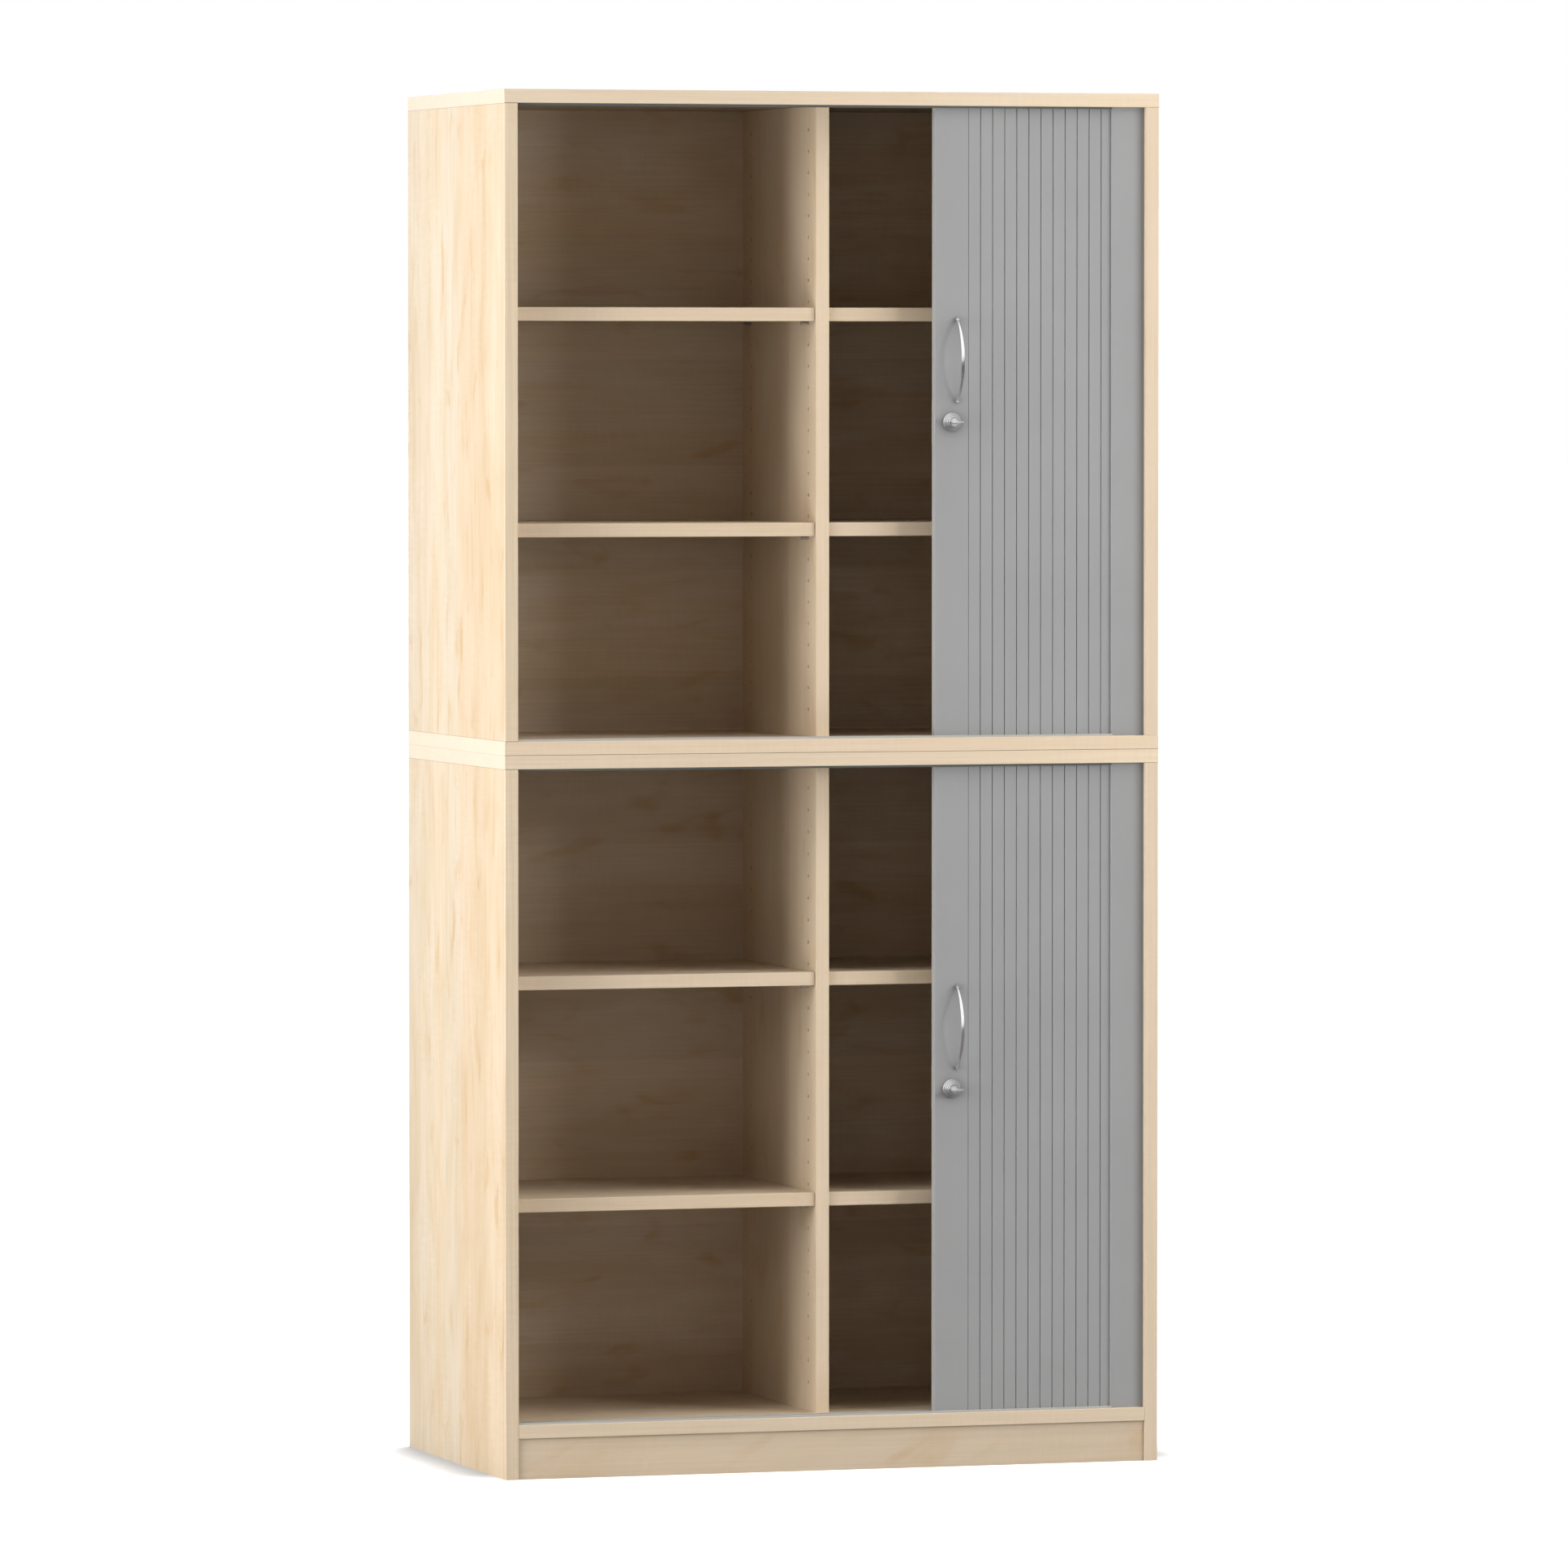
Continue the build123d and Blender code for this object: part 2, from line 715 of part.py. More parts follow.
def make_shared():
    """Pieces that serve both units: plinths, pins, plates, dowels, bolts and screws."""
    for name, setback in (("plinth_front", plinth_setback), ("plinth_rear", rear_plinth_setback)):
        with BuildPart() as plinth:
            block(
                inner_left, inner_right, front + setback, front + setback + board,
                0, plinth_height,
            )
        save(plinth, name)

    long = pin_out + pin_in
    with BuildPart() as pins:
        for unit in units:
            faces = [
                (inner_left - pin_in, 1),
                (divider_left + pin_in, -1),
                (divider_right - pin_in, 1),
                (inner_side_left + pin_in, -1),
            ]
            for x, way in faces:
                places = [
                    (x, front + setback, z - pin_radius)
                    for setback in (front_hole_setback, rear_hole_setback)
                    for z in shelf_bottoms(unit)
                ]
                rods(places, (way, 0, 0), pin_radius, long)
    save(pins, "shelf_pins")

    y = front + door_setback + barrel_long + (plug_proud + flange_thick + bolt_thick) / 2
    with BuildPart() as strikes:
        for unit in units:
            z = middle(unit)
            block(
                inner_left - strike_thick, inner_left, y - strike_wide / 2,
                y + strike_wide / 2, z - strike_high / 2, z + strike_high / 2,
            )
            block(
                inner_left - strike_thick, inner_left, y - strike_slot_wide / 2,
                y + strike_slot_wide / 2, z - strike_slot_high / 2,
                z + strike_slot_high / 2, Mode.SUBTRACT,
            )
    save(strikes, "strike_plates")

    with BuildPart() as dowels:
        for unit in units:
            rods(
                upright_dowels(unit), (0, 0, 1), dowel_radius, dowel_long,
                align=Align.CENTER,
            )
        rods(level_dowels(lower), (1, 0, 0), dowel_radius, dowel_long, align=Align.CENTER)
    save(dowels, "dowels")

    with BuildPart() as connectors:
        unit_bolts(0)
    save(connectors, "unit_bolts")

    with BuildPart() as screws:
        for unit in units:
            back_screws(unit, 0)
    save(screws, "back_screws")


os.makedirs("parts", exist_ok=True)
for unit in units:
    make_sides(unit)
    make_boards(unit)
    make_panels(unit)
    make_shelves(unit)
    make_tracks(unit)
    make_rail(unit)
    make_handle(unit)
    make_lock(unit)
    make_curtain(unit)
make_shared()
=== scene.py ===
import math

import bpy
from mathutils import Euler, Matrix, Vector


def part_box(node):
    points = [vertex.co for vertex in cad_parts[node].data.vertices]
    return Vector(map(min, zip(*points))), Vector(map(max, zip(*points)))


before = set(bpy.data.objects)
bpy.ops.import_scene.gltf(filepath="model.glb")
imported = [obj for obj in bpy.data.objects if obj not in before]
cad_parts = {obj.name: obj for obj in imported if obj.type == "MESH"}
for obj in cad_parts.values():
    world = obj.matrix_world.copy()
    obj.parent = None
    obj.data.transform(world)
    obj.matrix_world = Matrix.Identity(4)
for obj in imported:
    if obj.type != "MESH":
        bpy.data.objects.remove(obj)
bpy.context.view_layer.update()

# Everything is in metres. X runs to the right, Y to the back, and Z up from the floor.
X, Y, Z = 0, 1, 2
UNITS = ("lower", "upper")

# Camera, placed from the photograph's own perspective. Angles are in degrees, the lens in millimetres.
CAMERA_AT = (-4.5721, -14.7848, 1.5167)
CAMERA_DOWN = 2.131
CAMERA_YAW = -17.186
CAMERA_LENS = 254.04
SENSOR_WIDTH = 36.0
CLIP_END = 300.0

# Places on the cabinet, from the frame
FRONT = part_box("lower_side_left")[0][Y]
INSIDE_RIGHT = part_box("plinth_front")[1][X]
BOARD_JOINTS = (
    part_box("lower_top_board")[0][Z],
    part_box("upper_bottom_board")[1][Z],
    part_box("upper_top_board")[0][Z],
)
UNIT_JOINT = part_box("upper_bottom_board")[0][Z]
LOCK_HEIGHTS = [sum(corner[Z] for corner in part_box(f"{unit}_lock_plug")) / 2 for unit in UNITS]
HOLES_FROM = FRONT + 0.073
HOLES_TO = FRONT + 0.438
EDGE_BAND_THICK = 0.0018

# Stretches of X over which a board changes its tone, in places as painted light and shade
TO_THE_RIGHT = (-0.2, 0.47)
# The inner backs step from painted shade left of the divider to painted light right of it
PAINTED_LIGHT_PAST_DIVIDER = (0.0, 0.10)
# The cover's right edge, where painted shade darkens it next to the proud side panel
COVER_PAINTED_SHADE = (INSIDE_RIGHT - 0.019, INSIDE_RIGHT + 0.0005)

# Colours, linear
WHITE = (1.0, 1.0, 1.0)
MAPLE = (0.620, 0.502, 0.376)
BEECH = (0.62, 0.42, 0.22)
GREY = (0.322, 0.322, 0.322)
PALE_TRACK = (0.47, 0.455, 0.42)
# The top track is the same pale plastic as the bottom one, painted dark as the shade under the boards'
# front edges
PAINTED_SHADE_TRACK = (0.12, 0.135, 0.13)

# How squarely a face looks along an axis where its tone sets in, and where it is full
FACING = (0.4, 0.9)

# Wood decor: planks, tones and hues, the last two as changes of the wood's colour
PLANKS_PER_METRE = 13.0
PLANK_WANDER = 0.006
STRIP_WANDER = 0.010
FRONT_LIFT = 1.13
# Strength of the painted shade inside the pin holes
HOLE_SHADE = 0.22
END_BAND_HUE = (0.985, 0.975, 1.06)
FLAME_TONES = (
    (0.30, (0.955, 0.925, 0.87)), (0.46, (0.987, 0.977, 0.95)),
    (0.58, (1.005, 1.007, 1.01)), (0.72, (1.02, 1.034, 1.06)),
)
MARK_TONES = (
    (0.27, (0.93, 0.87, 0.78)), (0.40, (0.99, 0.984, 0.97)),
    (0.66, WHITE), (0.74, (1.02, 1.03, 1.05)),
)
PLANK_HUES = ((0.2, (1.0, 0.987, 0.965)), (0.8, (0.995, 1.0, 1.0)))

# Painted contact shade of handle and lock on the rail: its reach and strength, and how far from a lock it
# goes
SHADE_REACH = 0.030
SHADE_STRENGTH = 0.32
SHADE_FULL = 0.24
SHADE_END = 0.34

# Studio lights: turn from the front and rise in degrees, distance, size, and power in watts
AIM = (0.0, -0.1, 1.0)
LIGHTS = (
    ("overhead", 0.0, 72.0, 3.2, (3.0, 1.5), 32.0),
    ("front_fill", -17.0, 5.0, 4.5, (2.0, 2.0), 5.5),
    ("left_front", -55.0, 8.0, 3.6, (0.5, 0.8), 8.0),
    ("left_high", -55.0, 45.0, 3.6, (1.5, 1.5), 15.0),
    ("left_side", -75.0, 15.0, 3.6, (1.5, 2.2), 65.0),
    ("left_low", -75.0, -8.0, 3.6, (1.5, 1.2), 60.0),
    ("left_far", -92.0, 2.0, 5.0, (2.5, 3.0), 100.0),
    ("right_key", 38.0, 8.0, 3.6, (0.45, 0.7), 21.0),
    ("right_front", 54.0, 8.0, 3.6, (1.3, 1.6), 31.0),
    ("right_high", 52.0, 38.0, 3.6, (1.5, 1.5), 30.0),
    ("right_side", 68.0, 12.0, 3.6, (1.5, 2.2), 32.0),
    ("behind", 170.0, 22.0, 4.2, (2.6, 2.0), 110.0),
)

# Floor: its corners, the painted shade round the object's base, and how dark metal mirrors it, a painted
# reflection
FLOOR_CORNERS = [(-60, -60, 0), (60, -60, 0), (60, 160, 0), (-60, 160, 0)]
FLOOR_SHADE_REACH = 0.14
FLOOR_SHADE_FRONT = 0.08
FLOOR_SHADE_BEHIND = 0.66
FLOOR_PAINTED_REFLECTION = 0.15


def new_material(name, roughness, specular=0.5, metallic=0.0):
    """A material with a plain shader, and the parts that the others build on."""
    mat = bpy.data.materials.new(name)
    mat.use_nodes = True
    shader = mat.node_tree.nodes["Principled BSDF"]
    shader.inputs["Roughness"].default_value = roughness
    shader.inputs["Specular IOR Level"].default_value = specular
    shader.inputs["Metallic"].default_value = metallic
    return mat, mat.node_tree, shader


def add(tree, kind, **values):
    """A node with its sockets set by name, with _ for a space."""
    node = tree.nodes.new(kind)
    for key, value in values.items():
        node.inputs[key.replace("_", " ")].default_value = value
    return node


def coordinates(tree):
    """The object's own coordinates and its normal."""
    node = add(tree, "ShaderNodeTexCoord")
    return node.outputs["Object"], node.outputs["Normal"]


def parts_of(tree, vector):
    """The three coordinates of a vector."""
    node = add(tree, "ShaderNodeSeparateXYZ")
    tree.links.new(vector, node.inputs[0])
    return node.outputs


def moved(tree, vector, **values):
    """A vector shifted, turned or scaled."""
    node = add(tree, "ShaderNodeMapping", **values)
    tree.links.new(vector, node.inputs["Vector"])
    return node.outputs["Vector"]


def stretched(tree, vector, grain, along, across):
    """A vector scaled differently along the grain and across it."""
    scale = [across, across, across]
    scale[grain] = along
    return moved(tree, vector, Scale=tuple(scale))


def noise(tree, vector, detail, scale=1.0, rough=0.55, distortion=0.0):
    """Noise along a vector."""
    node = add(tree, "ShaderNodeTexNoise", Scale=scale, Detail=detail, Roughness=rough,
               Distortion=distortion)
    tree.links.new(vector, node.inputs["Vector"])
    return node.outputs["Fac"]


def math_node(tree, operation, *values):
    """The result of an operation on sockets or numbers."""
    node = add(tree, "ShaderNodeMath")
    node.operation = operation
    for socket, value in zip(node.inputs, values):
        if isinstance(value, (int, float)):
            socket.default_value = value
        else:
            tree.links.new(value, socket)
    return node.outputs[0]


def product(tree, first, *others):
    """Sockets or numbers multiplied."""
    result = first
    for value in others:
        result = math_node(tree, "MULTIPLY", result, value)
    return result


def less(tree, start, taken):
    """One socket or number less another."""
    return math_node(tree, "SUBTRACT", start, taken)


def size_of(tree, value):
    """A number without its sign."""
    return math_node(tree, "ABSOLUTE", value)


def range_of(tree, value, low, high, to_low, to_high, kind="LINEAR"):
    """A value carried from one range to another."""
    node = add(tree, "ShaderNodeMapRange", From_Min=low, From_Max=high, To_Min=to_low, To_Max=to_high)
    node.interpolation_type = kind
    tree.links.new(value, node.inputs["Value"])
    return node.outputs["Result"]


def fade(tree, value, low, high, to_low, to_high):
    """A factor that changes over a stretch, smooth at both ends."""
    return range_of(tree, value, low, high, to_low, to_high, kind="SMOOTHSTEP")


def ramp(tree, fac, stops):
    """A colour ramp through (place, colour) stops."""
    node = add(tree, "ShaderNodeValToRGB")
    points = node.color_ramp.elements
    while len(points) < len(stops):
        points.new(0.5)
    for point, (place, colour) in zip(points, stops):
        point.position = place
        point.color = (*colour, 1.0)
    tree.links.new(fac, node.inputs["Fac"])
    return node.outputs["Color"]


def grey_of(tree, value):
    """A number as a grey colour."""
    node = add(tree, "ShaderNodeCombineColor")
    for socket in node.inputs[:3]:
        tree.links.new(value, socket)
    return node.outputs[0]


def multiply(tree, a, b):
    """Two colour sockets multiplied."""
    node = tree.nodes.new("ShaderNodeMix")
    node.data_type = "RGBA"
    node.blend_type = "MULTIPLY"
    node.inputs["Factor"].default_value = 1.0
    tree.links.new(a, node.inputs["A"])
    tree.links.new(b, node.inputs["B"])
    return node.outputs["Result"]


def blend_of(tree, a, colour, amount):
    """A colour socket blended into a plain colour."""
    node = tree.nodes.new("ShaderNodeMix")
    node.data_type = "RGBA"
    node.inputs["B"].default_value = (*colour, 1.0)
    tree.links.new(amount, node.inputs["Factor"])
    tree.links.new(a, node.inputs["A"])
    return node.outputs["Result"]


def bump(tree, shader, height, strength, distance):
    """A bump on the shader's normal."""
    node = add(tree, "ShaderNodeBump", Strength=strength, Distance=distance)
    tree.links.new(height, node.inputs["Height"])
    tree.links.new(node.outputs["Normal"], shader.inputs["Normal"])


def mix(colour, by, amount=1.0):
    """A colour multiplied by another, as far as the amount says."""
    return tuple(c * (1.0 + (b - 1.0) * amount) for c, b in zip(colour, by))


def shade(colour, by):
    """A colour made lighter or darker."""
    return tuple(channel * by for channel in colour)


def planks(tree, place, grain, across, contrast):
    """Planks of uneven width: each one's change of tone and its hue, and how their edges wander."""
    wander = noise(tree, stretched(tree, place, grain, 1.5, 6.0), detail=2.0)
    cut = math_node(tree, "ADD", parts_of(tree, place)[across], product(tree, wander, PLANK_WANDER))
    plank = tree.nodes.new("ShaderNodeTexVoronoi")
    plank.voronoi_dimensions = "1D"
    plank.inputs["Scale"].default_value = PLANKS_PER_METRE
    tree.links.new(cut, plank.inputs["W"])
    chance = parts_of(tree, plank.outputs["Color"])
    tone = range_of(tree, chance[0], 0.0, 1.0, -0.045 * contrast, 0.035 * contrast)
    hue = ramp(tree, chance[1], [(stop, mix(WHITE, by, contrast)) for stop, by in PLANK_HUES])
    return tone, hue, wander


def flames(tree, place, grain, colour, amount, size):
    """Broad flames in the colour of the wood."""
    field = noise(tree, stretched(tree, place, grain, 4.5 / size, 24.0 / size), detail=3.0, rough=0.5,
                  distortion=0.7)
    return ramp(tree, field, [(stop, mix(colour, by, amount)) for stop, by in FLAME_TONES])


def marks(tree, place, grain, amount, size):
    """Small warm marks here and there."""
    field = noise(tree, stretched(tree, place, grain, 13.0 / size, 34.0 / size), detail=2.0, rough=0.5,
                  distortion=0.6)
    return ramp(tree, field, [(stop, mix(WHITE, by, amount)) for stop, by in MARK_TONES])


def ripple(tree, place, grain, contrast):
    """A faint ripple across the grain, in patches."""
    waves = noise(tree, stretched(tree, place, grain, 165.0, 30.0), detail=2.0, rough=0.5)
    cloud = noise(tree, stretched(tree, place, grain, 4.0, 9.0), detail=1.0)
    patches = fade(tree, cloud, 0.42, 0.58, 0.0, 0.08 * contrast)
    return math_node(tree, "ADD", 1.0, product(tree, less(tree, waves, 0.5), patches))


def painted_hole_shade(tree, at, normal):
    """Painted shade on the walls of the pin holes of upright panels."""
    walls = range_of(tree, size_of(tree, normal[X]), 0.3, 0.7, HOLE_SHADE, 0.0)
    off_front = range_of(tree, at[Y], HOLES_FROM, HOLES_FROM + 0.002, 0.0, 1.0)
    off_rear = range_of(tree, at[Y], HOLES_TO - 0.002, HOLES_TO, 1.0, 0.0)
    return less(tree, 1.0, product(tree, walls, off_front, off_rear))


def seam_tone(tree, at, axis, place, half_width, dark):
    """Tone of a thin dark joint at a place along an axis. One along X is on the left and the right."""
    there = size_of(tree, at[X]) if axis == X else at[axis]
    return fade(tree, size_of(tree, less(tree, there, place)), 0.0, half_width, dark, 1.0)


def wood(name, grain, across, colour=MAPLE, seed=0.0, contrast=1.0, spots=1.0, size=1.0, lean=0.0,
         edge=FRONT_LIFT, end=1.0, underside_shade=1.0, by_x=None, band=None, strips=None, seams=()):
    """Wood decor with its grain along one axis, in planks along another.

    contrast is the strength of the whole figure, and spots, size and lean shape its flames and marks.
    edge and end are the tones of faces that look along Y and along X, and underside is painted shade on
    faces that look down.
    by_x is a stretch of X and the tones at its ends. band is the hue of the edge bands, strips a
    ramp of hues across the planks, and seams are the dark joints.
    """
    mat, tree, shader = new_material(name, roughness=0.45, specular=0.30)
    position, direction = coordinates(tree)
    at = parts_of(tree, position)
    normal = parts_of(tree, direction)
    place = moved(tree, position, Location=(seed, seed * 0.7, seed * 1.3))
    tilted = moved(tree, place, Rotation=(0.0, lean, 0.0))

    # Edge bands, on the front and at the ends of boards that lie flat
    banded_ends = band and grain == X
    front = range_of(tree, size_of(tree, normal[Y]), *FACING, 0.0, 1.0 if band else 0.0)
    ends = range_of(tree, size_of(tree, normal[X]), *FACING, 0.0, 1.0 if banded_ends else 0.0)
    off_band = less(tree, 1.0, math_node(tree, "MAXIMUM", front, ends))

    # Tones of the planks, fibres, ripple, faces, holes and joints, all multiplied; those of faces that
    # look down and of the holes are painted shade
    change, hue, wander = planks(tree, place, grain, across, contrast)
    fibres = noise(tree, stretched(tree, place, grain, 5.0, 330.0), detail=3.0, rough=0.65)
    tones = [
        math_node(tree, "ADD", 1.0, product(tree, change, off_band)),
        range_of(tree, fibres, 0.30, 0.70, 1.0 - 0.055 * contrast, 1.0 + 0.042 * contrast),
        ripple(tree, place, grain, contrast),
    ]
    for axis, lift in ((Y, edge), (X, end)):
        if lift != 1.0:
            tones.append(range_of(tree, size_of(tree, normal[axis]), *FACING, 1.0, lift))
    # Painted shade on faces that look down
    if underside_shade != 1.0:
        tones.append(range_of(tree, normal[Z], -0.9, -0.4, underside_shade, 1.0))
    if by_x:
        tones.append(range_of(tree, at[X], *by_x))
    if grain == Z:
        tones.append(painted_hole_shade(tree, at, normal))
    tones += [seam_tone(tree, at, *seam) for seam in seams]

    # Figure, of which the edge bands have hardly any
    figured = contrast * spots
    figure = multiply(tree, flames(tree, tilted, grain, colour, figured, size),
                      marks(tree, tilted, grain, figured, size))
    figure = multiply(tree, figure, hue)
    if strips:
        along = math_node(tree, "ADD", at[across], product(tree, wander, STRIP_WANDER))
        figure = multiply(tree, figure, ramp(tree, range_of(tree, along, -0.25, 0.25, 0.0, 1.0), strips))
    if band:
        figure = blend_of(tree, figure, mix(MAPLE, band), product(tree, front, 0.8))
    if banded_ends:
        end_colour = mix(mix(MAPLE, band), END_BAND_HUE)
        figure = blend_of(tree, figure, end_colour, product(tree, ends, 0.85))

    tree.links.new(multiply(tree, figure, grey_of(tree, product(tree, *tones))),
                   shader.inputs["Base Color"])
    bump(tree, shader, fibres, 0.05, 0.0002)
    return mat


def painted_contact_shade(tree, position):
    """Painted contact shade on the rail within reach of what stands on it, near the locks and handles
    alone.
    """
    near = add(tree, "ShaderNodeAmbientOcclusion", Distance=SHADE_REACH)
    near.samples = 32
    dark = range_of(tree, near.outputs["AO"], 0.74, 0.99, SHADE_STRENGTH, 0.0)
    height = parts_of(tree, position)[Z]
    away = math_node(tree, "MINIMUM", *(
        size_of(tree, less(tree, height, lock)) for lock in LOCK_HEIGHTS))
    return less(tree, 1.0, product(tree, dark, fade(tree, away, SHADE_FULL, SHADE_END, 1.0, 0.0)))


def plastic(name, colour, roughness=0.5, by_x=None, contact=False):
    """Moulded plastic with a fine matte grain, with painted shade along X or painted contact shade where
    asked.
    """
    mat, tree, shader = new_material(name, roughness=roughness, specular=0.4)
    position, _ = coordinates(tree)
    cloud = noise(tree, position, scale=6.0, detail=3.0)
    tone = ramp(tree, cloud, [(0.35, shade(colour, 0.98)), (0.65, shade(colour, 1.02))])
    if by_x:
        tone = multiply(tree, tone, grey_of(tree, fade(tree, parts_of(tree, position)[X], *by_x)))
    if contact:
        tone = multiply(tree, tone, grey_of(tree, painted_contact_shade(tree, position)))
    tree.links.new(tone, shader.inputs["Base Color"])
    bump(tree, shader, noise(tree, position, scale=900.0, detail=2.0), 0.10, 0.0001)
    return mat


def metal(name, colour, roughness, metallic=1.0, front=1.0, below=1.0):
    """Metal with a faint brushing, with painted shade on faces that look forward and down where it is
    stepped.
    """
    mat, tree, shader = new_material(name, roughness=roughness, metallic=metallic)
    position, direction = coordinates(tree)
    lines = noise(tree, moved(tree, position, Scale=(1.0, 1.0, 0.08)), scale=700.0, detail=2.0)
    tone = ramp(tree, lines, [(0.3, shade(colour, 0.94)), (0.7, shade(colour, 1.03))])
    # Painted shade: faces that look forward and down are made darker
    if front != 1.0:
        normal = parts_of(tree, direction)
        forward = range_of(tree, size_of(tree, normal[Y]), 0.3, 0.95, 1.0, front)
        painted_shade_below = range_of(tree, normal[Z], -0.6, 0.3, below, 1.0)
        tone = multiply(tree, tone, grey_of(tree, product(tree, forward, painted_shade_below)))
    tree.links.new(tone, shader.inputs["Base Color"])
    bump(tree, shader, lines, 0.02, 0.0001)
    return mat


def dress(node, mat):
    """Gives a CAD node its material."""
    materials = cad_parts[node].data.materials
    materials.clear()
    materials.append(mat)


def area_light(name, turn, rise, far, size, power):
    """A soft box that points at the middle of the object and doesn't show in reflections."""
    data = bpy.data.lights.new(name, "AREA")
    data.shape = "RECTANGLE"
    data.size, data.size_y = size
    data.energy = power
    obj = bpy.data.objects.new(name, data)
    bpy.context.scene.collection.objects.link(obj)
    obj.visible_glossy = False
    turn, rise = math.radians(turn), math.radians(rise)
    at = (far * math.sin(turn) * math.cos(rise), -far * math.cos(turn) * math.cos(rise),
          AIM[Z] + far * math.sin(rise))
    obj.location = at
    way = [b - a for a, b in zip(at, AIM)]
    flat = math.hypot(way[X], way[Y])
    obj.rotation_euler = Euler(
        (math.atan2(flat, -way[Z]), 0.0, math.atan2(way[Y], way[X]) - math.pi / 2))


def make_floor():
    """Floor, white where the camera sees it, with a painted soft shadow round the object's base, and
    darker in reflections.
    """
    mesh = bpy.data.meshes.new("floor")
    mesh.from_pydata(FLOOR_CORNERS, [], [(0, 1, 2, 3)])
    floor = bpy.data.objects.new("floor", mesh)
    bpy.context.scene.collection.objects.link(floor)
    mat, tree, shader = new_material("floor_white", roughness=0.9, specular=0.05)
    position, _ = coordinates(tree)
    path = add(tree, "ShaderNodeLightPath")
    near = add(tree, "ShaderNodeAmbientOcclusion", Distance=FLOOR_SHADE_REACH)
    near.samples = 24
    shaded = less(tree, 1.0, fade(tree, near.outputs["AO"], 0.45, 0.98, 0.0, 1.0))
    strength = fade(tree, parts_of(tree, position)[Y], -0.27, -0.14, FLOOR_SHADE_FRONT, FLOOR_SHADE_BEHIND)
    kept = less(tree, 1.0, product(tree, strength, shaded))
    # Painted reflection: glossy rays see a darker floor
    mirrored = range_of(tree, path.outputs["Is Glossy Ray"], 0.0, 1.0, 0.6, FLOOR_PAINTED_REFLECTION)
    tree.links.new(grey_of(tree, product(tree, kept, mirrored)), shader.inputs["Base Color"])

    from_middle = add(tree, "ShaderNodeVectorMath")
    from_middle.operation = "LENGTH"
    tree.links.new(position, from_middle.inputs[0])
    # The glow is weaker near the object, as part of the painted shadow
    white = range_of(tree, from_middle.outputs["Value"], 0.6, 3.0, 0.86, 1.0)
    glow = add(tree, "ShaderNodeEmission")
    tree.links.new(product(tree, white, kept, path.outputs["Is Camera Ray"]), glow.inputs["Strength"])
    both = add(tree, "ShaderNodeAddShader")
    tree.links.new(shader.outputs[0], both.inputs[0])
    tree.links.new(glow.outputs[0], both.inputs[1])
    tree.links.new(both.outputs[0], tree.nodes["Material Output"].inputs["Surface"])
    mesh.materials.append(mat)


def make_world():
    """White to the camera, in reflections light above and dark below, and no light of its own."""
    world = bpy.data.worlds.new("studio")
    bpy.context.scene.world = world
    world.use_nodes = True
    tree = world.node_tree
    backdrop = tree.nodes["Background"]
    backdrop.inputs["Color"].default_value = (*WHITE, 1.0)
    path = add(tree, "ShaderNodeLightPath")
    coords = add(tree, "ShaderNodeTexCoord")
    direction = parts_of(tree, coords.outputs["Generated"])
    upward = less(tree, direction[Z], product(tree, direction[X], 0.15))
    sky = fade(tree, upward, -0.22, 0.08, 0.16, 1.5)
    mirrored = product(tree, sky, path.outputs["Is Glossy Ray"])
    tree.links.new(math_node(tree, "MAXIMUM", mirrored, path.outputs["Is Camera Ray"]),
                   backdrop.inputs["Strength"])


def make_camera():
    """Camera at the photograph's viewing angle."""
    data = bpy.data.cameras.new("camera")
    data.sensor_width = SENSOR_WIDTH
    data.lens = CAMERA_LENS
    data.clip_end = CLIP_END
    camera = bpy.data.objects.new("camera", data)
    bpy.context.scene.collection.objects.link(camera)
    camera.location = CAMERA_AT
    camera.rotation_euler = Euler((math.radians(90.0 - CAMERA_DOWN), 0.0, math.radians(CAMERA_YAW)))
    bpy.context.scene.camera = camera


# Hues of the maple pieces, which differ a little from board to board
PALE = mix(MAPLE, (1.025, 1.035, 1.045))
WARM = mix(MAPLE, (1.01, 1.01, 1.005))
BACK_LOW = mix(MAPLE, (1.02, 1.01, 1.01))
BACK_HIGH = mix(MAPLE, (1.08, 1.10, 1.13))
SIDE_STRIPS = [
    (0.0, WHITE), (0.040, WHITE), (0.048, (0.945, 0.90, 0.85)), (0.18, (0.955, 0.915, 0.875)),
    (0.24, (0.945, 0.905, 0.855)), (0.46, (0.97, 0.935, 0.91)), (0.50, (0.985, 0.98, 0.985)),
    (0.72, (0.995, 1.0, 1.01)), (0.76, (0.99, 1.0, 1.02)), (0.95, (0.995, 1.01, 1.03)),
]

# Joints: axis, place along it, half width and tone
SIDE_SEAMS = [(Z, height, 0.0014, 0.62) for height in BOARD_JOINTS]
SIDE_SEAMS.append((Y, FRONT + EDGE_BAND_THICK, 0.0007, 0.86))
UNIT_SEAMS = [(Z, UNIT_JOINT, 0.0011, 0.84)]
# The plinth's ends: a dark joint against the side panels, deepened as painted shade of the recessed corner
PLINTH_JOINT_SHADE = [(X, INSIDE_RIGHT, 0.0016, 0.5)]

# Boards and shelves lie flat, so their ends are bands too, and their undersides are darkened as painted
# shade
FLAT = {"end": 1.03, "underside_shade": 0.56}

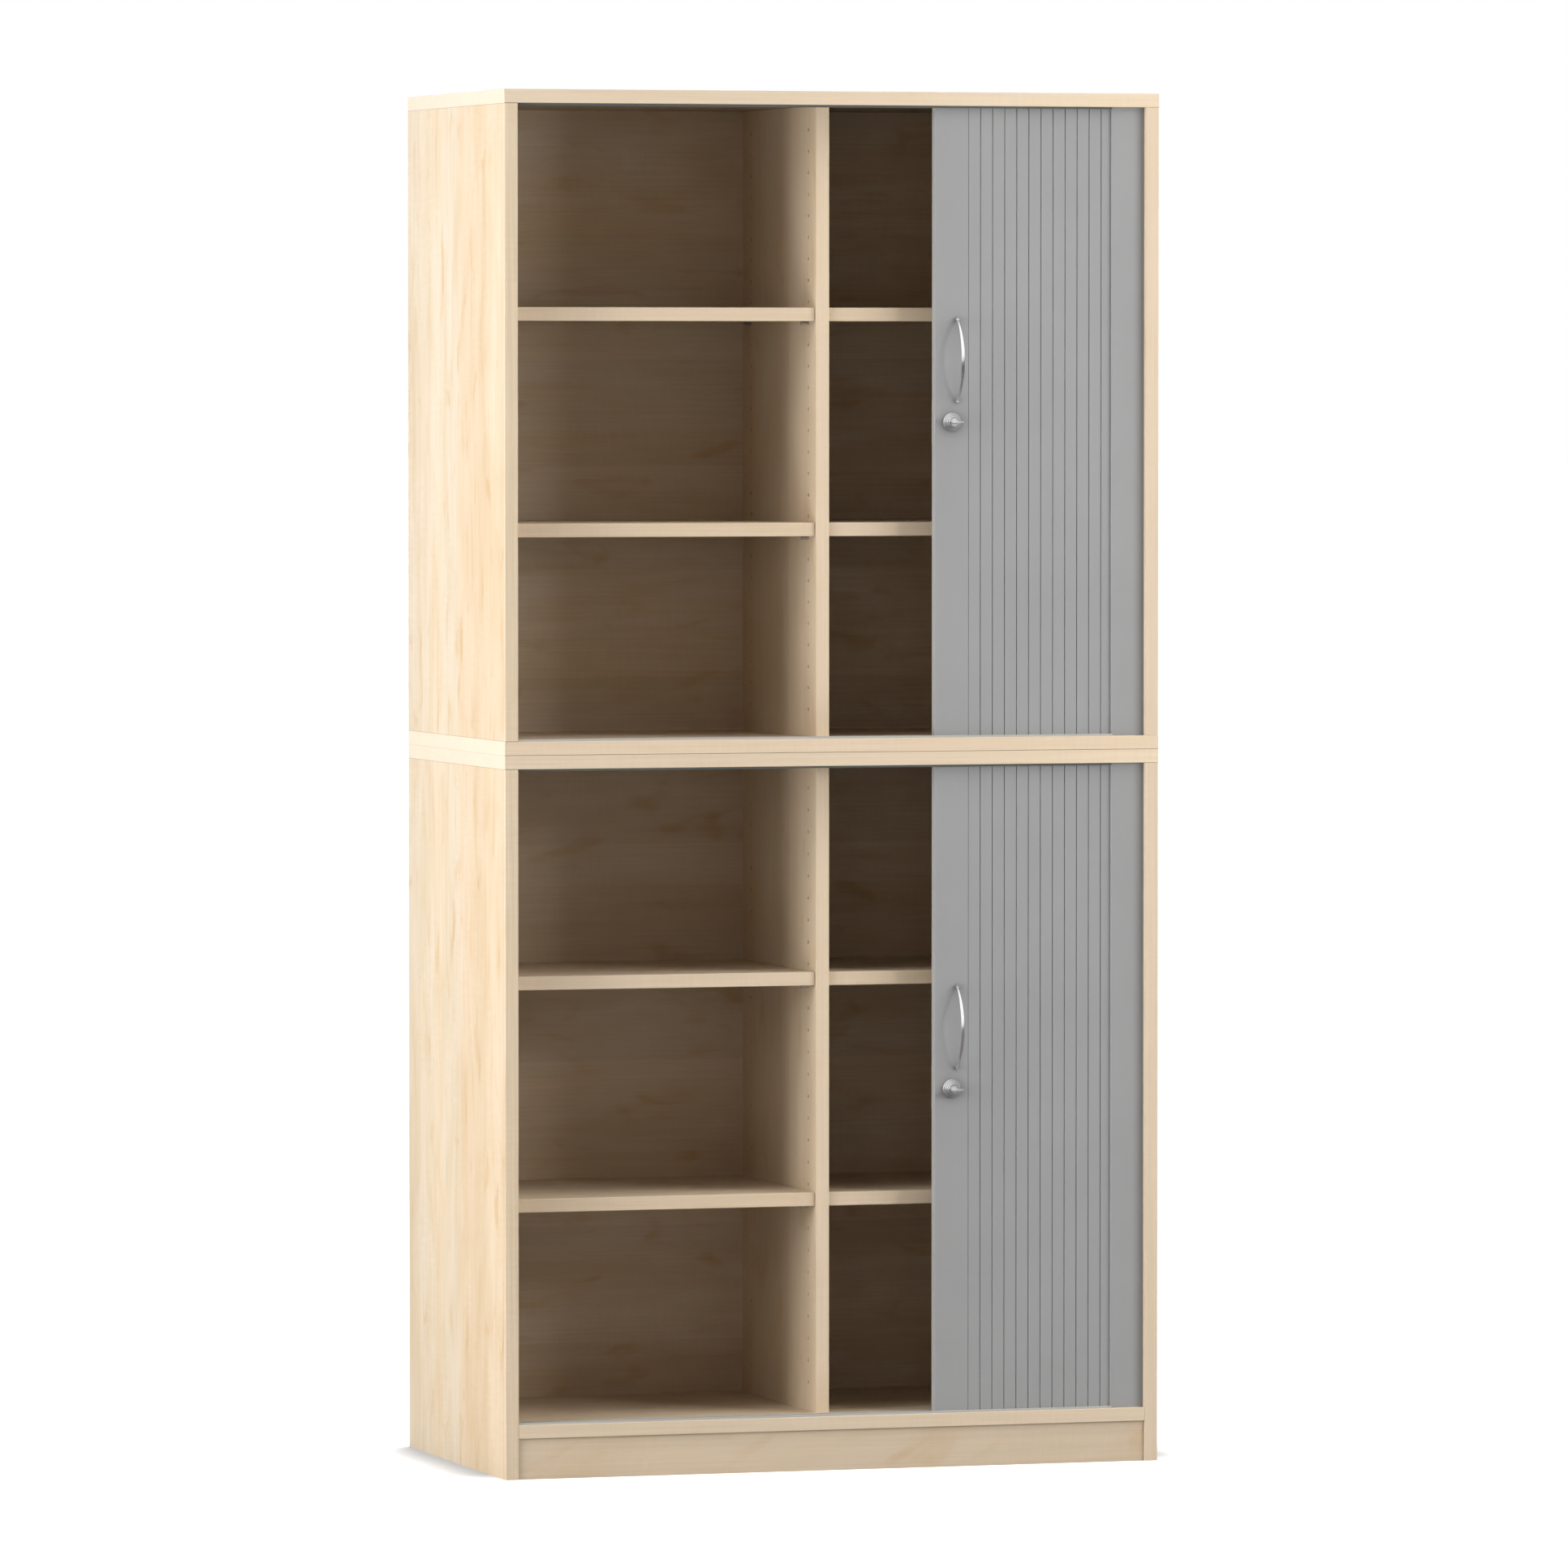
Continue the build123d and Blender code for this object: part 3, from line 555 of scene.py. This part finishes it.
side = wood("maple_side", Z, Y, colour=mix(MAPLE, (0.918, 0.945, 0.965)), seed=1.0, contrast=1.5,
            edge=1.2, band=(0.916, 0.911, 0.872), strips=SIDE_STRIPS, seams=SIDE_SEAMS)
side_two = wood("maple_side_two", Z, Y, colour=PALE, seed=5.0, contrast=0.75,
                band=(0.989, 0.984, 0.973))
top_board = wood("maple_top_board", X, Y, colour=PALE, seed=2.0, band=(1.0, 1.005, 0.985),
                 by_x=(*TO_THE_RIGHT, 1.0, 1.09), seams=UNIT_SEAMS, **FLAT)
middle_board = wood("maple_middle_board", X, Y, colour=WARM, seed=8.0, band=(1.05, 1.035, 1.01),
                    by_x=(*TO_THE_RIGHT, 1.0, 1.04), seams=UNIT_SEAMS, **FLAT)
bottom_board = wood("maple_bottom_board", X, Y, colour=WARM, seed=9.0, band=(0.98, 0.985, 0.975),
                    by_x=(*TO_THE_RIGHT, 1.0, 1.04), **FLAT)
shelf_low = wood("maple_shelf_low", X, Y, colour=PALE, seed=3.0, band=(0.975, 0.95, 0.90), **FLAT)
shelf_high = wood("maple_shelf_high", X, Y, colour=WARM, seed=6.0, band=(1.0, 0.985, 0.96), **FLAT)
# The inner backs are darker left of the divider and lighter right of it: painted shade and painted light
# of the two compartments
back_low = wood("maple_back_low", X, Z, colour=BACK_LOW, seed=11.0, contrast=1.2, spots=1.2, size=1.3,
                edge=1.0, by_x=(*PAINTED_LIGHT_PAST_DIVIDER, 0.90, 1.07))
back_high = wood("maple_back_high", X, Z, colour=BACK_HIGH, seed=12.0, contrast=1.2, spots=1.2,
                 size=1.3, edge=1.0, by_x=(*PAINTED_LIGHT_PAST_DIVIDER, 0.96, 1.08))
back_outer = wood("maple_back_outer", X, Z, colour=mix(MAPLE, (0.97, 0.975, 0.975)), seed=15.0,
                  spots=0.6, edge=1.0)
divider = wood("maple_divider", Z, Y, colour=mix(MAPLE, (1.04, 1.05, 1.03)), seed=7.0, contrast=0.75,
               band=(1.06, 1.05, 1.025))
plinth = wood("maple_plinth", X, Z, colour=mix(MAPLE, (1.045, 1.045, 1.04)), seed=14.0, contrast=0.9,
              size=1.8, lean=0.5, edge=1.0, by_x=(*TO_THE_RIGHT, 1.0, 0.97), seams=PLINTH_JOINT_SHADE)
beech = wood("beech_dowel", Z, X, colour=BEECH, seed=3.0, edge=1.0)
grey = plastic("grey_curtain", GREY)
# The rail gets painted contact shade round its handles and locks
rail = plastic("grey_rail", GREY, contact=True)
# Painted shade: the cover darkens towards the side panel, which stands proud of it
cover = plastic("grey_cover", GREY, by_x=(*COVER_PAINTED_SHADE, 1.0, 0.76))
track = plastic("track_plastic", PALE_TRACK, roughness=0.45)
# Painted shade: the top track's plastic made dark
track_painted_shade = plastic("track_plastic_top", PAINTED_SHADE_TRACK)
chrome = metal("satin_chrome", (0.68, 0.68, 0.69), 0.24, metallic=0.90)
# The lock housing gets painted shade on its forward and downward faces
stepped = metal("satin_chrome_stepped", (0.88, 0.88, 0.89), 0.24, metallic=0.6, front=0.5, below=0.5)
nickel = metal("key_nickel", (0.60, 0.595, 0.585), 0.28, metallic=0.6)
zinc = metal("zinc_steel", (0.58, 0.58, 0.60), 0.45)

UNIT_LOOKS = {
    "side_left": side, "side_right": side_two, "divider": divider, "inner_side": side_two,
    "shelf_left_low": shelf_low, "shelf_left_high": shelf_high,
    "shelf_right_low": shelf_high, "shelf_right_high": shelf_low,
    "back_panel": back_outer, "cover_panel": cover,
    "track_bottom": track, "track_top": track_painted_shade,
    "door_rail": rail, "slats_front": grey, "slats_second": grey,
    "slats_third": grey, "slats_fourth": grey,
    "handle": chrome, "handle_screws": zinc,
    "lock_housing": stepped, "lock_plug": chrome, "key": nickel, "lock_bolt": zinc,
}
for unit in UNITS:
    for part, mat in UNIT_LOOKS.items():
        dress(f"{unit}_{part}", mat)
SINGLE_LOOKS = {
    "upper_top_board": top_board, "upper_bottom_board": middle_board,
    "lower_top_board": top_board, "lower_bottom_board": bottom_board,
    "upper_inner_back": back_high, "lower_inner_back": back_low,
    "plinth_front": plinth, "plinth_rear": plinth,
    "shelf_pins": zinc, "strike_plates": zinc, "dowels": beech,
    "unit_bolts": zinc, "back_screws": zinc,
}
for node, mat in SINGLE_LOOKS.items():
    dress(node, mat)

for light in LIGHTS:
    area_light(*light)
make_floor()
make_world()
make_camera()
bpy.context.scene.view_settings.view_transform = "Standard"
